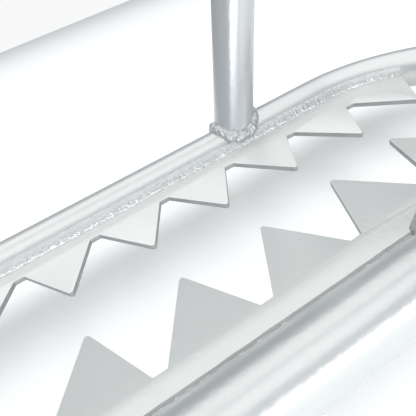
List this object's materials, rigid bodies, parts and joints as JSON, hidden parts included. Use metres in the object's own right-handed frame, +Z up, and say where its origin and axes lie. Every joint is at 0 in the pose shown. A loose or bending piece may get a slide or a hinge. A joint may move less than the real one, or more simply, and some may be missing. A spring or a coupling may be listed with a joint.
{
  "type": "folding loading ramp",
  "caption": "Folding loading ramp for one wheel: two hoop-ended tube frames with saw-tooth tread plates, raked side guards, a clevis hinge with lock bolts and a hinged top lip.",
  "frame": {"origin": "middle of the unfolded ramp's footprint, on the ground under its feet and hinge knuckles", "axes": "+X up the ramp to the hooked lip, +Y to the left side, +Z up off the tread"},
  "size_m": [2.12, 0.3738, 0.314],
  "materials": {
    "silver_tube": "satin silver-grey coating on steel tube",
    "silver_plate": "satin silver-grey coating on cut steel plate",
    "tread_plate": "satin silver-grey coating on laser-cut steel tread plate",
    "zinc_hardware": "zinc plated",
    "rubber": "matt moulded rubber",
    "knob_plastic": "fine-grained moulded plastic"
  },
  "bodies": {
    "upper_section": {"upper_side_frame": "silver_tube", "upper_toothed_plate_left": "tread_plate", "upper_side_guard_left": "silver_tube", "upper_foot_left": "rubber", "upper_foot_screw_left": "zinc_hardware", "upper_end_disc_left": "silver_tube", "upper_toothed_plate_right": "tread_plate", "upper_side_guard_right": "silver_tube", "upper_foot_right": "rubber", "upper_foot_screw_right": "zinc_hardware", "upper_end_disc_right": "silver_tube", "upper_cross_bar_hinge": "silver_tube", "upper_cross_bar_mid": "silver_tube", "upper_hinge_lug_left": "silver_plate", "lip_lug_left": "silver_plate", "upper_hinge_lug_right": "silver_plate", "lip_lug_right": "silver_plate", "lip_pin": "zinc_hardware", "lip_nut": "zinc_hardware"},
    "lower_section": {"lower_side_frame": "silver_tube", "lower_toothed_plate_left": "tread_plate", "lower_side_guard_left": "silver_tube", "lower_foot_left": "rubber", "lower_foot_screw_left": "zinc_hardware", "lower_end_disc_left": "silver_tube", "lower_toothed_plate_right": "tread_plate", "lower_side_guard_right": "silver_tube", "lower_foot_right": "rubber", "lower_foot_screw_right": "zinc_hardware", "lower_end_disc_right": "silver_tube", "lower_cross_bar_hinge": "silver_tube", "lower_cross_bar_mid": "silver_tube", "lower_hinge_plate_outer_left": "silver_plate", "lower_hinge_plate_inner_left": "silver_plate", "hinge_bolt_left": "zinc_hardware", "hinge_nut_left": "zinc_hardware", "hinge_spacer_inner_left": "zinc_hardware", "hinge_spacer_outer_left": "zinc_hardware", "lock_barrel_left": "silver_plate", "lower_hinge_plate_outer_right": "silver_plate", "lower_hinge_plate_inner_right": "silver_plate", "hinge_bolt_right": "zinc_hardware", "hinge_nut_right": "zinc_hardware", "hinge_spacer_inner_right": "zinc_hardware", "hinge_spacer_outer_right": "zinc_hardware", "lock_barrel_right": "silver_plate"},
    "lip": {"lip_plate": "silver_plate", "lip_pad": "rubber"},
    "lock_left": {"lock_bolt_left": "zinc_hardware", "lock_knob_left": "knob_plastic"},
    "lock_right": {"lock_bolt_right": "zinc_hardware", "lock_knob_right": "knob_plastic"}
  },
  "joints": [
    {"name": "fold", "type": "hinge", "parent": "upper_section", "child": "lower_section", "pos_m": [-0.052, 0, 0.012], "axis": [0, -1, 0], "range_deg": [0, 180]},
    {"name": "lip_tilt", "type": "hinge", "parent": "upper_section", "child": "lip", "pos_m": [0.978, 0, 0.039], "axis": [0, -1, 0], "range_deg": [-18, 10]},
    {"name": "lock_slide_left", "type": "slide", "parent": "lower_section", "child": "lock_left", "axis": [0, 1, 0], "range_m": [-0.0085, 0]},
    {"name": "lock_slide_right", "type": "slide", "parent": "lower_section", "child": "lock_right", "axis": [0, -1, 0], "range_m": [-0.0085, 0]}
  ]
}
